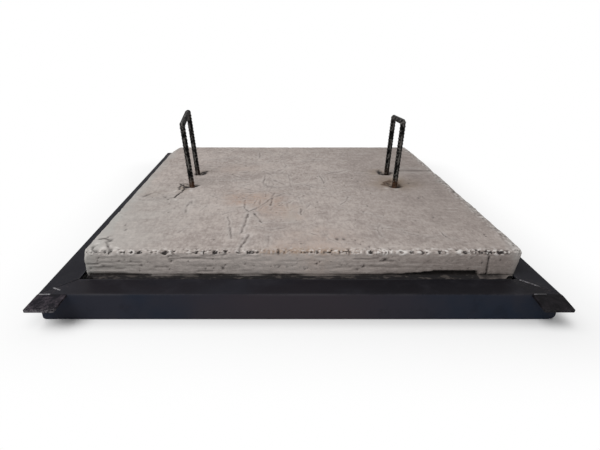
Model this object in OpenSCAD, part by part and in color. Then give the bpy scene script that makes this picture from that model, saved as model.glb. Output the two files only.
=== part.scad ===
// Access cover for a sewer chamber: a concrete slab with two rebar lifting loops,
// lying in a mitred frame of steel angle with four anchor tabs.
// X runs to the right, Y to the back and Z up. The origin is on the ground under
// the middle of the frame. All sizes are in millimetres.

/* [Concrete slab] */
// Width of the top face, left to right
slab_w = 598; // [560:1:640]
// Length, front to back
slab_l = 600; // [560:1:640]
// Height from the ground to the top face
slab_h = 75; // [60:1:90]
// Lean of the right side, in degrees: the slab is narrower below
right_lean = 8; // [0:0.5:10]
// Worn chamfer along the top edges
edge_chamfer = 2.5; // [1:0.5:5]
// Broken front left corner of the top face: how far in, along the diagonal
corner_in = 6; // [3:0.5:10]
// How far down that break reaches
corner_down = 14; // [6:1:24]

/* [Gaps round the slab] */
// Gap on the left, at the height of the flange
gap_left = 7.4; // [2:0.2:12]
// Gap on the right, where the slab lies against the flange
gap_right = 0.3; // [0.2:0.1:2]
// Gap at the front, which the mortar fin fills
gap_front = 10; // [6:0.5:16]
// Gap at the back
gap_back = 12; // [6:0.5:16]

/* [Mortar fin] */
// Height of the fin where it leaves the slab
fin_h = 8; // [4:0.5:12]
// Height of the fin at its free edge
fin_edge_h = 2; // [1:0.25:3]
// Gap between the fin and the flange
fin_clear = 0.3; // [0.2:0.1:1]

/* [Marks in the slab] */
// Size of the chips along the front top edge, compared with those seen
chip_scale = 1; // [0.6:0.05:1.2]
// Radius of the groove over the mortar fin, at the left end
groove_left_r = 2.6; // [1:0.1:3]
// Radius of the groove over the mortar fin, at the right end
groove_right_r = 1.2; // [0.6:0.1:3]
// Height of the hollow under the front edge
hollow_h = 7; // [4:0.5:10]
// Depth of the hollow
hollow_d = 6; // [4:0.5:10]
// Length of the hollow
hollow_l = 88; // [40:1:120]
// Distance of the hollow's left end from the slab's left side
hollow_from = 455; // [400:1:460]
// Width of the crack in the front face
crack_w = 1.5; // [0.5:0.25:3]
// Depth of the crack
crack_d = 4; // [2:0.5:8]
// Distance of the crack from the slab's left side
crack_from = 554; // [500:1:558]
// Depth of the hollow round each loop leg
leg_pit_d = 2.5; // [1:0.25:5]
// Radius of the hollow round each loop leg
leg_pit_r = 10; // [8:0.5:14]

/* [Lifting loops] */
// Diameter of the bar
bar_d = 9.5; // [8:0.5:12]
// Radius of the bends, at the middle of the bar
bend_r = 7; // [6.5:0.5:14]
// Distance between the two legs of a loop
loop_spacing = 84; // [70:1:100]
// Distance of the left loop from the slab's left side
left_inset = 98; // [85:1:110]
// Distance of the right loop from the slab's right side
right_inset = 105; // [95:1:115]
// Distance of both loops behind the slab's middle
loop_back = 20; // [0:1:40]
// Height of the left loop's front leg
left_front_h = 118; // [90:0.5:140]
// Height of the left loop's back leg
left_back_h = 129.5; // [90:0.5:140]
// Height of the right loop's front leg
right_front_h = 123.5; // [90:0.5:140]
// Height of the right loop's back leg
right_back_h = 117.5; // [90:0.5:140]
// Outward lean of the left loop, in degrees
left_loop_lean = 4.5; // [0:0.5:8]
// Outward lean of the right loop, in degrees
right_loop_lean = 1.5; // [0:0.5:8]
// Turn of the left loop seen from above, in degrees
left_loop_turn = 2; // [-5:0.5:5]
// Turn of the right loop seen from above, in degrees
right_loop_turn = -2.5; // [-5:0.5:5]
// Length of the feet that hold a loop in the concrete
foot_l = 60; // [40:1:80]

/* [Ribs on the bar] */
// Distance from rib to rib
rib_pitch = 6.4; // [5:0.2:9]
// Height of a rib
rib_h = 0.5; // [0.3:0.1:1]
// Width of a rib
rib_w = 1.8; // [1:0.2:2.4]
// Slant of a rib, in degrees
rib_slant = 20; // [0:1:25]

/* [Reinforcement in the slab] */
// Diameter of a reinforcing bar
mesh_d = 9.5; // [6:0.5:10]
// Distance of the outermost bars from the sides of the slab's underside
mesh_edge = 40; // [25:1:45]
// Concrete under the lowest bars
cover_under = 15; // [12:0.5:20]
// Concrete beyond the bars' ends
cover_end = 15; // [10:1:30]
// Gap between bars that cross
cross_clear = 0.3; // [0.2:0.1:1]

/* [Frame of steel angle] */
// Length of each leg of the angle
leg = 38.1; // [34:0.1:44]
// Thickness of the angle
wall = 3.2; // [2.5:0.1:5]
// Radius of the angle's inner fillet
fillet_r = 4.7; // [3:0.1:6]
// Radius of the angle's toes
toe_r = 1.6; // [0.5:0.1:2]
// Gap that each member leaves at a mitre, measured along the member
mitre_relief = 0.3; // [0.1:0.1:1]
// Rounding of the bottom corner at the front right
round_front_right = 7; // [2:0.5:9]
// Rounding of the other bottom corners
round_other = 3; // [1:0.5:6]

/* [Anchor tabs] */
// Width of a tab
tab_w = 38; // [25:1:40]
// Length of a tab
tab_l = 36; // [30:1:60]
// Length of the front right tab, measured along its bend
short_tab_l = 31; // [25:1:60]
// Thickness of a tab
tab_t = 3.2; // [2.5:0.1:5]
// Rounding of a tab's free corners
tab_round = 2; // [0.5:0.5:5]
// Downward bend of the front right tab, in degrees
tab_droop = 7; // [2:1:10]
// Length that stays flat before that bend
tab_root_l = 3; // [2:0.5:6]

/* [Welds] */
// Radius of the upright beads inside the corners
bead_r = 3.5; // [2:0.25:4]
// Radius of the low beads on top
cap_r = 1.8; // [1.4:0.1:2.4]
// Height by which a low bead stands out
cap_h = 0.8; // [0.4:0.1:1.2]
// Length of the bead at a tab's root
cap_l = 16; // [10:1:20]
// Distance of that bead from the tab's nearer side
cap_from = 2; // [1:0.5:6]
// Length of the bead along the front right mitre
seam_l = 26; // [10:1:30]
// Length of the tacks across the other mitres
tack_l = 14; // [8:0.5:18]
// Slant of a tack seen from above, in degrees from the front or back member
tack_slant = -27; // [-45:1:0]
// Length of a tack on the side member
tack_over = 2.2; // [1.5:0.1:3]

/* [Hidden] */
$fn = 48;
CONCRETE = "#b0a8a0";
BLACK_STEEL = "#26272b";
RUSTY_BAR = "#3a3632";
WELD = "#4a4a4e";
// Overlap of a cutting shape beyond the face that it cuts
cut = 1;
mesh_count = 5;
// Depth to which the mortar fin's section runs on into the slab
fin_root = 2;
// Room between a straight stretch of a loop and a bend, inside the rib that joins them
joint_gap = 0.2;

// Slab and opening at the height of the flange
flange_z = leg;
lean_in = (slab_h - flange_z) * tan(right_lean);
lean_all = slab_h * tan(right_lean);
opening_w = gap_left + slab_w - lean_in + gap_right;
opening_l = gap_front + slab_l + gap_back;
frame_w = opening_w + 2 * leg;
frame_l = opening_l + 2 * leg;
slab_left = -opening_w / 2 + gap_left;
slab_right = slab_left + slab_w;
slab_front = -opening_l / 2 + gap_front;
slab_back = slab_front + slab_l;

// Levels of the reinforcement: crosswise bars below, lengthwise bars and feet above
cross_z = cover_under + mesh_d / 2;
length_z = cross_z + mesh_d + cross_clear;
foot_z = cross_z + mesh_d / 2 + cross_clear + bar_d / 2 + rib_h;
mesh_x = (slab_left + slab_right - lean_all) / 2;
mesh_y = (slab_front + slab_back) / 2;
pitch_x = (slab_w - lean_all - 2 * mesh_edge) / (mesh_count - 1);
pitch_y = (slab_l - 2 * mesh_edge) / (mesh_count - 1);

// Chips along the front top edge: distance from the slab's left side, radius
chips = [[17, 2.2], [29, 2.6], [36, 3.2], [65, 2.4], [76, 3.4], [111, 4], [121, 2.2],
         [153, 3], [162, 2.2], [179, 3.6], [193, 2.2], [213, 2.6], [229, 3.2], [237, 2.2],
         [303, 2.4], [318, 3], [331, 2.2], [355, 2.6], [364, 2.2], [392, 3.6], [433, 2.4],
         [448, 3.2], [464, 2.4], [486, 3.2], [522, 3.6], [530, 2.4], [542, 3], [568, 3.4]];
// Where a tack crosses its mitre and where the front right mitre's bead starts, measured
// along the member from the corner
tack_cross = 0.4 * leg;
seam_from = leg - toe_r - seam_l / sqrt(2);
// Pits in the front face: distance from the left side, height, radius
front_pits = [[77, 54, 1.8], [119, 60, 1.8], [190, 49, 2.4],
              [318, 56, 1.8], [384, 52, 1.8], [412, 62, 2.4]];
// Slant of the crack in the front face, in degrees
crack_slant = -4.5;

// Geometry of a bent bar whose middle line lies flat in X and Y
function unit(v) = v / norm(v);
function turn(u, v) = atan2(u.x * v.y - u.y * v.x, u * v);
function way(path, i) = unit(path[i + 1] - path[i]);
function trim(path, i) = i == 0 || i == len(path) - 1
    ? 0
    : bend_r * tan(abs(turn(way(path, i - 1), way(path, i))) / 2);
function start_of(path, i) = path[i] + way(path, i) * trim(path, i);
function end_of(path, i) = path[i + 1] - way(path, i) * trim(path, i + 1);

module along(a, b) {
    translate([a.x, a.y, 0])
        rotate([0, 0, atan2(b.y - a.y, b.x - a.x)])
            rotate([0, 90, 0]) children();
}

module bend(path, i) {
    u = way(path, i - 1);
    angle = turn(u, way(path, i));
    side = sign(angle);
    inward = side * [-u.y, u.x];
    centre = path[i] - u * trim(path, i) + inward * bend_r;
    from = atan2(-inward.y, -inward.x);
    translate([centre.x, centre.y, 0])
        rotate([0, 0, side > 0 ? from : from + angle])
            rotate_extrude(angle = abs(angle)) translate([bend_r, 0]) circle(d = bar_d);
}

module rib(slant) {
    rotate([slant, 0, 0]) cylinder(h = rib_w, d = bar_d + 2 * rib_h, center = true);
}

// The bar without the ribs of its straight stretches: one rib stands at each end of a bend
// and joins it to the stretch, which stops a little short of it
module bent_bar(path) {
    last = len(path) - 2;
    for (i = [0 : last]) {
        from = start_of(path, i) + way(path, i) * (i == 0 ? 0 : joint_gap);
        to = end_of(path, i) - way(path, i) * (i == last ? 0 : joint_gap);
        along(from, to) cylinder(h = norm(to - from), d = bar_d);
        if (i > 0) along(start_of(path, i), to) rib(0);
        if (i < last) along(end_of(path, i), path[i + 1]) rib(0);
    }
    for (i = [1 : last]) bend(path, i);
}

// Slanted ribs on the stretch from a to b
module ribs(a, b) {
    for (d = [rib_pitch : rib_pitch : norm(b - a) - rib_pitch / 2])
        along(a, b) translate([0, 0, d]) rib(rib_slant);
}

// The path of a loop, level 0 being the slab's top face: foot, leg, top, leg, foot
function loop_path(front_h, back_h, lean) =
    let (deep = -(slab_h - foot_z) / cos(lean), half = loop_spacing / 2)
    [[-half - foot_l, deep], [-half, deep], [-half, front_h],
     [half, back_h], [half, deep], [half + foot_l, deep]];

module set_loop(x, lean, around) {
    translate([x, mesh_y + loop_back, slab_h])
        rotate([0, lean, 0]) rotate([0, 0, around]) rotate([90, 0, 90]) children();
}

module loop(front_h, back_h, x, lean, around, ribbed) {
    path = loop_path(front_h, back_h, abs(lean));
    set_loop(x, lean, around) {
        bent_bar(path);
        if (ribbed) {
            ribs([path[1].x, 0], end_of(path, 1));
            ribs(start_of(path, 2), end_of(path, 2));
            ribs([path[3].x, 0], start_of(path, 3));
        }
    }
}

module left_loop(ribbed = true) {
    x = slab_left + left_inset;
    loop(left_front_h, left_back_h, x, -left_loop_lean, left_loop_turn, ribbed);
}

module right_loop(ribbed = true) {
    x = slab_right - right_inset;
    loop(right_front_h, right_back_h, x, right_loop_lean, right_loop_turn, ribbed);
}

module lifting_loop_left() {
    color(RUSTY_BAR) left_loop();
}

module lifting_loop_right() {
    color(RUSTY_BAR) right_loop();
}

// Reinforcing bars: number i runs from 0 on the left or at the front
module lengthwise_bar(i) {
    length = slab_l - 2 * cover_end;
    translate([mesh_x + (i - (mesh_count - 1) / 2) * pitch_x, mesh_y, length_z])
        rotate([90, 0, 0]) cylinder(h = length, d = mesh_d, center = true);
}

module crosswise_bar(i) {
    length = slab_w - lean_all - 2 * cover_end;
    translate([mesh_x, mesh_y + (i - (mesh_count - 1) / 2) * pitch_y, cross_z])
        rotate([0, 90, 0]) cylinder(h = length, d = mesh_d, center = true);
}

module reinforcing_bar_lengthwise(i) {
    color(RUSTY_BAR) lengthwise_bar(i);
}

module reinforcing_bar_crosswise(i) {
    color(RUSTY_BAR) crosswise_bar(i);
}

// Section of the slab across its width, seen from the front
module slab_across() {
    c = edge_chamfer;
    polygon([[slab_left, 0], [slab_right - lean_all, 0],
             [slab_right - c * tan(right_lean), slab_h - c], [slab_right - c, slab_h],
             [slab_left + c, slab_h], [slab_left, slab_h - c]]);
}

// Section of the slab along its length
module slab_along() {
    c = edge_chamfer;
    polygon([[slab_front, 0], [slab_back, 0], [slab_back, slab_h - c],
             [slab_back - c, slab_h], [slab_front + c, slab_h], [slab_front, slab_h - c]]);
}

module slab_block() {
    intersection() {
        translate([0, slab_back, 0]) rotate([90, 0, 0]) linear_extrude(slab_l) slab_across();
        translate([slab_left, 0, 0]) rotate([90, 0, 90]) linear_extrude(slab_w) slab_along();
    }
}

// The break is a slanted plane across the corner, square to its diagonal
module corner_cut() {
    reach = 2 * corner_in;
    steep = corner_down / corner_in;
    translate([slab_left, slab_front, slab_h]) rotate([0, 0, 45]) rotate([90, 0, 0])
        linear_extrude(6 * corner_in, center = true)
            polygon([[corner_in + cut / steep, cut], [-reach, cut],
                     [-reach, -corner_down - reach * steep]]);
}

module edge_chips() {
    for (c = chips)
        translate([slab_left + c[0], slab_front - 0.3 * c[1], slab_h + 0.2 * c[1]])
            sphere(r = c[1] * chip_scale * 1.3);
}

module face_pits() {
    for (p = front_pits)
        translate([slab_left + p[0], slab_front - 0.3 * p[2], p[1]]) sphere(r = p[2]);
}

// A shallow hollow under the front edge, with tapered ends
module edge_hollow() {
    r = hollow_d;
    translate([slab_left + hollow_from, slab_front, flange_z])
        intersection() {
            rotate([0, 90, 0]) {
                cylinder(h = hollow_l / 4, r1 = r / 3, r2 = r);
                translate([0, 0, hollow_l / 4]) cylinder(h = hollow_l / 2, r = r);
                translate([0, 0, hollow_l * 3 / 4]) cylinder(h = hollow_l / 4, r1 = r, r2 = r / 3);
            }
            translate([-cut, -r - cut, 0]) cube([hollow_l + 2 * cut, 2 * r + 2 * cut, hollow_h]);
        }
}

// A groove along the foot of the front face, over the mortar fin
module foot_groove() {
    translate([slab_left - cut, slab_front, flange_z + cut]) rotate([0, 90, 0])
        cylinder(h = slab_w + 2 * cut, r1 = groove_left_r, r2 = groove_right_r);
}

module face_crack() {
    translate([slab_left + crack_from, slab_front - cut, flange_z])
        rotate([0, crack_slant, 0]) cube([crack_w, crack_d + cut, slab_h - flange_z + cut]);
}

module leg_pits(x) {
    for (s = [-1, 1])
        translate([x, mesh_y + loop_back + s * loop_spacing / 2, slab_h - leg_pit_d])
            cylinder(h = leg_pit_d + cut, r1 = bar_d / 2 + 1, r2 = leg_pit_r);
}

// Mortar that ran out at the front and stiffened in the gap before the flange
module mortar_fin() {
    out = gap_front - fin_clear;
    top = flange_z;
    translate([slab_left, 0, 0]) rotate([90, 0, 90])
        linear_extrude(slab_w - lean_all)
            polygon([[slab_front + fin_root, top - fin_h], [slab_front + fin_root, top - fin_edge_h],
                     [slab_front, top], [slab_front - out, top], [slab_front - out, top - fin_edge_h]]);
}

module concrete_slab() {
    color(CONCRETE) difference() {
        union() {
            difference() {
                slab_block();
                corner_cut();
                edge_chips();
                face_pits();
                edge_hollow();
                foot_groove();
                face_crack();
                leg_pits(slab_left + left_inset);
                leg_pits(slab_right - right_inset);
            }
            mortar_fin();
        }
        left_loop(ribbed = false);
        right_loop(ribbed = false);
        for (i = [0 : mesh_count - 1]) {
            lengthwise_bar(i);
            crosswise_bar(i);
        }
    }
}

// What a rounded corner of radius r takes away from a square one at the origin
module corner_waste(r) {
    difference() {
        translate([-cut, -cut]) square(r + cut);
        translate([r, r]) circle(r);
    }
}

// Section of the angle: outer face on the Y axis, flange on top
module angle_section() {
    difference() {
        union() {
            square([wall, leg]);
            translate([0, leg - wall]) square([leg, wall]);
            translate([wall, leg - wall]) mirror([0, 1]) difference() {
                square(fillet_r);
                translate([fillet_r, fillet_r]) circle(fillet_r);
            }
        }
        translate([leg, leg - wall]) mirror([1, 0]) corner_waste(toe_r);
        translate([wall, 0]) mirror([1, 0]) corner_waste(toe_r);
    }
}

// One member with its outer face on the X axis and both ends mitred
module frame_member(length, round_start, round_end) {
    m = mitre_relief;
    color(BLACK_STEEL) difference() {
        intersection() {
            rotate([90, 0, 90]) linear_extrude(length) angle_section();
            linear_extrude(leg)
                polygon([[m, 0], [length - m, 0], [length - leg - m, leg], [leg + m, leg]]);
        }
        translate([0, wall + cut, 0]) rotate([90, 0, 0])
            linear_extrude(wall + 2 * cut) corner_waste(round_start);
        translate([length, wall + cut, 0]) rotate([90, 0, 0])
            linear_extrude(wall + 2 * cut) mirror([1, 0]) corner_waste(round_end);
    }
}

module frame_front() {
    translate([-frame_w / 2, -frame_l / 2, 0])
        frame_member(frame_w, round_other, round_front_right);
}

module frame_right() {
    translate([frame_w / 2, -frame_l / 2, 0]) rotate(90)
        frame_member(frame_l, round_front_right, round_other);
}

module frame_back() {
    translate([frame_w / 2, frame_l / 2, 0]) rotate(180) frame_member(frame_w, round_other, round_other);
}

module frame_left() {
    translate([-frame_w / 2, frame_l / 2, 0]) rotate(270) frame_member(frame_l, round_other, round_other);
}

// Puts what is made at the front left corner at any of the four corners
module at_corner(right, back) {
    if (right) mirror([1, 0, 0]) at_corner(false, back) children();
    else if (back) mirror([0, 1, 0]) at_corner(false, false) children();
    else translate([-frame_w / 2, -frame_l / 2, 0]) children();
}

// Side of a tab, which runs out from the origin against Y: flat, or bent down beyond its root
module tab_side(length, droop) {
    bent_l = length - tab_root_l;
    end = [-tab_root_l - bent_l * cos(droop), -bent_l * sin(droop)];
    up = tab_t * [-sin(droop), cos(droop)];
    if (droop == 0) translate([-length, 0]) square([length, tab_t]);
    else polygon([[0, 0], [-tab_root_l, 0], end, end + up,
                  [-tab_root_l - tab_t * tan(droop / 2), tab_t], [0, tab_t]]);
}

module tab_plate(length, droop) {
    translate([0, 0, flange_z - tab_t]) difference() {
        rotate([90, 0, 90]) linear_extrude(tab_w) tab_side(length, droop);
        translate([0, -tab_root_l, 0]) rotate([droop, 0, 0])
            translate([0, tab_root_l - length, -cut]) linear_extrude(tab_t + 2 * cut) {
                corner_waste(tab_round);
                translate([tab_w, 0]) mirror([1, 0]) corner_waste(tab_round);
            }
    }
}

module anchor_tab(right, back, length = tab_l, droop = 0) {
    color(BLACK_STEEL) at_corner(right, back) tab_plate(length, droop);
}

// A low bead along X from the origin, its flat side down
module cap(length) {
    intersection() {
        translate([0, 0, cap_h - cap_r]) rotate([0, 90, 0]) cylinder(h = length, r = cap_r);
        translate([0, -cap_r, 0]) cube([length, 2 * cap_r, cap_r]);
    }
}

// The upright bead inside a corner, clear of the flange's seat
module upright_bead(bottom_round) {
    low = bottom_round + cut;
    high = leg - wall - fillet_r - cut;
    intersection() {
        translate([wall, wall, low]) cylinder(h = high - low, r = bead_r);
        translate([wall, wall, low]) cube([bead_r, bead_r, high - low]);
    }
}

// A tack is a low bead that runs slantwise over the mitre
module corner_weld_tacked(right, back) {
    color(WELD) at_corner(right, back) {
        upright_bead(round_other);
        translate([tack_cross, tack_cross, flange_z]) rotate([0, 0, tack_slant])
            translate([-tack_over, 0, 0]) cap(tack_l);
    }
}

// The front right mitre has a low bead along it instead
module corner_weld_seamed() {
    color(WELD) at_corner(true, false) {
        upright_bead(round_front_right);
        translate([seam_from, seam_from, flange_z]) rotate([0, 0, 45]) cap(seam_l);
    }
}

// A low bead over the joint between the frame and a tab
module tab_weld(right, back, from = cap_from) {
    color(WELD) at_corner(right, back) translate([from, 0, flange_z]) cap(cap_l);
}

concrete_slab();
lifting_loop_left();
lifting_loop_right();
frame_front();
frame_right();
frame_back();
frame_left();
anchor_tab(false, false);  // anchor_tab_front_left
anchor_tab(true, false, short_tab_l, tab_droop);  // anchor_tab_front_right
anchor_tab(false, true);  // anchor_tab_back_left
anchor_tab(true, true);  // anchor_tab_back_right
corner_weld_tacked(false, false);  // corner_weld_front_left
corner_weld_seamed();  // corner_weld_front_right
corner_weld_tacked(false, true);  // corner_weld_back_left
corner_weld_tacked(true, true);  // corner_weld_back_right
tab_weld(false, false);  // tab_weld_front_left
tab_weld(true, false, tab_w - cap_l - cap_from);  // tab_weld_front_right
tab_weld(false, true);  // tab_weld_back_left
tab_weld(true, true);  // tab_weld_back_right
reinforcing_bar_lengthwise(0);  // reinforcing_bar_lengthwise_1
reinforcing_bar_lengthwise(1);  // reinforcing_bar_lengthwise_2
reinforcing_bar_lengthwise(2);  // reinforcing_bar_lengthwise_3
reinforcing_bar_lengthwise(3);  // reinforcing_bar_lengthwise_4
reinforcing_bar_lengthwise(4);  // reinforcing_bar_lengthwise_5
reinforcing_bar_crosswise(0);  // reinforcing_bar_crosswise_1
reinforcing_bar_crosswise(1);  // reinforcing_bar_crosswise_2
reinforcing_bar_crosswise(2);  // reinforcing_bar_crosswise_3
reinforcing_bar_crosswise(3);  // reinforcing_bar_crosswise_4
reinforcing_bar_crosswise(4);  // reinforcing_bar_crosswise_5
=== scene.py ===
import bpy
import numpy as np
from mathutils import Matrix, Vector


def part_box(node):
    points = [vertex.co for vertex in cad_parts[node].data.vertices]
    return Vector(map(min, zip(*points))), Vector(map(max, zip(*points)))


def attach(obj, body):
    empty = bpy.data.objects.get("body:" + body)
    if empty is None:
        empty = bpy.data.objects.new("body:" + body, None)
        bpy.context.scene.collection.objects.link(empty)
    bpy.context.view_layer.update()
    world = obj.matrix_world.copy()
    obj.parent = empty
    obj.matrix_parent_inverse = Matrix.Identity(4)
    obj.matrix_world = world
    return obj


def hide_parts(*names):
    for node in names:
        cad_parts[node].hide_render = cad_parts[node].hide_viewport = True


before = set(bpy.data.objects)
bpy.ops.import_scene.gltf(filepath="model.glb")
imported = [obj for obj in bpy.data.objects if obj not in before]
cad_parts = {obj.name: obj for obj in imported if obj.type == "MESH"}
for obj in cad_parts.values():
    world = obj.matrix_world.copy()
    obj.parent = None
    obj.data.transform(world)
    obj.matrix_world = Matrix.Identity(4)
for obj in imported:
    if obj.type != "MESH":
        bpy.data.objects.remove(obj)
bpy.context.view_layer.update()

# The slab is the cover itself: grey concrete, cast in a timber form and struck off by hand.
# Its top edges are worn, the mix shows voids down the front, and mortar has run out at the
# front into the gap before the frame. Lengths are in millimetres until they go into a mesh.
slab_low, slab_high = (np.array(corner) * 1000 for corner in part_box("concrete_slab"))
slab_left, (slab_right, slab_back, slab_top) = slab_low[0], slab_high
slab_front = slab_back - 600.0  # the slab's box also holds the mortar fin
flange_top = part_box("frame_front")[1][2] * 1000
edge_round, worn_reach, face_step, top_sink, fin_reach = 1.8, 4.0, 1.6, 0.35, 8.3
corner_in, corner_down = 6.0, 14.0  # the break of the front left corner
back_in, back_along = 11.0, 60.0  # the wear of the back left corner
right_lean = np.tan(np.radians(8.0))
dirt_and_shade_scale = 1.3  # the darkest dirt and painted shade, which the mesh keeps as 1
# Chips along the front top edge: distance from the left side, radius, painted shade inside
chips = [
    [12, 1.8, 0.6], [17, 2.2, 0.6], [24, 2.0, 0.6], [29, 2.6, 0.7], [36, 3.2, 0.9], [65, 2.4, 0.8],
    [76, 3.4, 1.0], [93, 1.6, 0.5], [111, 4, 1.0], [121, 2.2, 0.6], [153, 3, 1.0], [162, 2.2, 0.6],
    [179, 3.6, 1.0], [193, 2.2, 0.6], [213, 2.6, 0.5], [229, 3.2, 1.0], [237, 2.2, 0.8],
    [258, 1.4, 0.4], [279, 1.5, 0.5], [285, 1.5, 0.5], [291, 1.4, 0.4], [303, 2.4, 0.5],
    [318, 3, 0.7], [331, 2.2, 0.6], [336, 1.4, 0.5], [355, 2.6, 0.6], [364, 2.2, 0.5],
    [375, 1.6, 0.5], [392, 3.6, 0.8], [433, 2.4, 0.7], [448, 3.2, 0.7], [464, 2.4, 0.6],
    [486, 3.2, 0.8], [522, 3.6, 0.8], [530, 2.4, 0.5], [542, 3, 0.9], [551, 1.8, 0.6],
    [568, 3.4, 0.9]]
# Pits in the front face: distance from the left side, height, radius
face_pits = [
    [77, 54, 1.8], [119, 60, 1.8], [190, 49, 2.4], [318, 56, 1.8], [384, 52, 1.8], [412, 62, 2.4],
    [75, 45.5, 1.3], [232, 53.3, 1.2], [255, 52.2, 1.3], [278, 51.7, 1.2], [376, 47, 1.4],
    [165, 49, 1.3], [176, 49.5, 1.2]]
# Streaks that the float pulled along the front face: start, end, height, depth
face_streaks = [
    [2, 18, 55.6, 1.1], [19, 39, 58, 0.9], [97, 114, 51.7, 1.3], [118, 121, 61, 0.8],
    [345, 366, 50.2, 0.9], [405, 423, 60.5, 1.2], [20, 60, 66, 0.5], [62, 92, 63, 0.4],
    [140, 210, 64, 0.45], [250, 330, 60, 0.4], [430, 520, 57, 0.4], [380, 470, 51, 0.5],
    [10, 50, 48, 0.6]]
# Grooves that were scratched into the top while it was wet: depth, width, points
top_grooves = [
    [1.0, 1.8, [(-86, -98), (-84, -139), (-76, -153)]],
    [1.1, 1.9, [(-66, -160), (-60, -180), (-52, -198)]],
    [0.9, 1.9, [(-74, -150), (-62, -136), (-38, -86)]], [1.1, 2.0, [(-40, -124), (-37, -86)]],
    [0.5, 1.6, [(-76, -155), (-52, -150), (-34, -142)]],
    [0.6, 1.8, [(-36, -84), (-22, -66), (-12, -58)]],
    [0.95, 2.4, [(-77, -162), (-78, -190), (-80, -212), (-83, -238)]],
    [0.95, 2.4, [(-70, -244), (-76, -273), (-81, -299)]],
    [0.8, 1.8, [(-108, -174), (-103, -205), (-96, -258)]], [0.9, 1.8, [(-179, -99), (-178, -116)]],
    [0.7, 2.4, [(-181, -104), (-184, -130), (-180, -157)]],
    [1.2, 2.8, [(-286, -259), (-279, -258), (-272, -260)]],
    [1.1, 2.2, [(-272, -268), (-266, -280), (-259, -292)]],
    [1.0, 1.8, [(-284, -284), (-283, -292), (-277, -297)]], [0.9, 1.7, [(11, -139), (11, -166)]],
    [0.8, 1.8, [(61, 46), (64, -1)]], [0.7, 1.8, [(-54, 46), (-56, 14), (-54, -17)]],
    [0.7, 2.2, [(-73, 236), (-70, 212), (-72, 190)]],
    [0.6, 1.7, [(-64, -212), (-40, -226), (-20, -222)]], [0.6, 1.7, [(-32, -48), (-38, -86)]],
    [0.5, 1.6, [(-80, 2), (-66, 14), (-50, -2), (-54, -22)]],
    [0.5, 1.6, [(-6, 62), (-3, 20), (-1, -46)]], [0.5, 1.6, [(64, 58), (69, 24), (64, -8)]],
    [0.5, 1.6, [(-45, 40), (-36, -10), (-44, -50)]],
    [0.4, 3.4, [(-182, 25), (-132, 22), (-90, 26)]],
    [0.5, 1.6, [(12, -90), (16, -130), (10, -160)]], [0.4, 1.8, [(-16, 240), (0, 216), (30, 206)]],
    [0.5, 1.8, [(-60, 190), (-24, 214), (-10, 178)]],
    [0.4, 1.6, [(-120, 150), (-96, 172), (-70, 160)]],
    [0.5, 1.8, [(150, -232), (186, -250), (232, -262)]],
    [0.5, 1.6, [(40, -232), (48, -262), (62, -276)]], [0.5, 1.6, [(-160, -196), (-176, -238)]],
    [0.8, 1.6, [(216, -238), (221, -258)]], [0.75, 8.5, [(236, 86), (270, 86), (310, 87)]],
    [0.4, 8.0, [(216, 84), (226, 86), (238, 86)]]]
# Finer ones, without a plan: most lie about the middle of the back half
rng = np.random.default_rng(7)
for k in range(110):
    px, py = rng.uniform(-285, 295), rng.uniform(-285, 285)
    if k % 2:
        px, py = rng.normal(-40, 75), rng.normal(90, 110)
    heading, reach = rng.normal(0.1, 0.9), rng.uniform(8, 26)
    bow = rng.normal(0, 0.25) * reach
    cx, cy = np.cos(heading), np.sin(heading)
    depth, width = rng.uniform(0.2, 0.75), rng.uniform(1.5, 2.3) * (1 + 0.5 * (py > -60) * abs(cx))
    top_grooves.append([depth, width, [
        (px - cx * reach, py - cy * reach), (px - cy * bow, py + cx * bow),
        (px + cx * reach, py + cy * reach)]])
for k in range(34):  # and a patch that was scraped again and again
    px, py = rng.normal(-72, 42), rng.normal(-104, 34)
    heading, reach = rng.normal(0.8, 0.6), rng.uniform(5, 14)
    cx, cy = reach * np.cos(heading), reach * np.sin(heading)
    depth, width = rng.uniform(0.35, 0.8), rng.uniform(1.4, 1.9)
    top_grooves.append([depth, width, [(px - cx, py - cy), (px + cx, py + cy)]])
# The crack and the torn place at the near leg of the left loop
top_cracks = [
    [1.8, 2.2, [(-207, -34), (-207, -55), (-211, -62), (-214, -76), (-216, -84)]],
    [1.8, 3.0, [(-207, -27), (-197, -21), (-188, -16)]], [1.3, 2.4, [(-188, -16), (-180, -15)]],
    [1.4, 1.8, [(-221, -6), (-212, -15), (-206, -29)]],
    [1.0, 2.2, [(-216, -40), (-217, -23), (-212, -6), (-205, -1)]],
    [1.2, 1.8, [(-212, -14), (-204, -10), (-198, -19)]], [0.8, 1.8, [(-203, 2), (-196, -8)]],
    [1.0, 1.8, [(-206, -40), (-199, -36)]],
    [0.45, 2.6, [(-217, -84), (-230, -90), (-240, -66), (-253, -55)]],
    [0.75, 3.4, [(-253, -55), (-264, -64), (-272, -76)]], [0.45, 2.8, [(-267, -97), (-247, -94)]]]
# Flakes knocked off round it show lighter concrete: place, radius
pale_flakes = [
    (-212, -45, 3.2), (-192, -46, 3.4), (-211, -21, 2.4), (-210, -95, 2.6), (-199, -28, 2.6),
    (-221, -50, 2.4), (199, -35, 5.0), (180, -34, 4.0), (199, -6, 2.6), (-183, -24, 2.6),
    (-270, -289, 4.0), (-284, -274, 3.0), (-251, -288, 3.0)]
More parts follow.
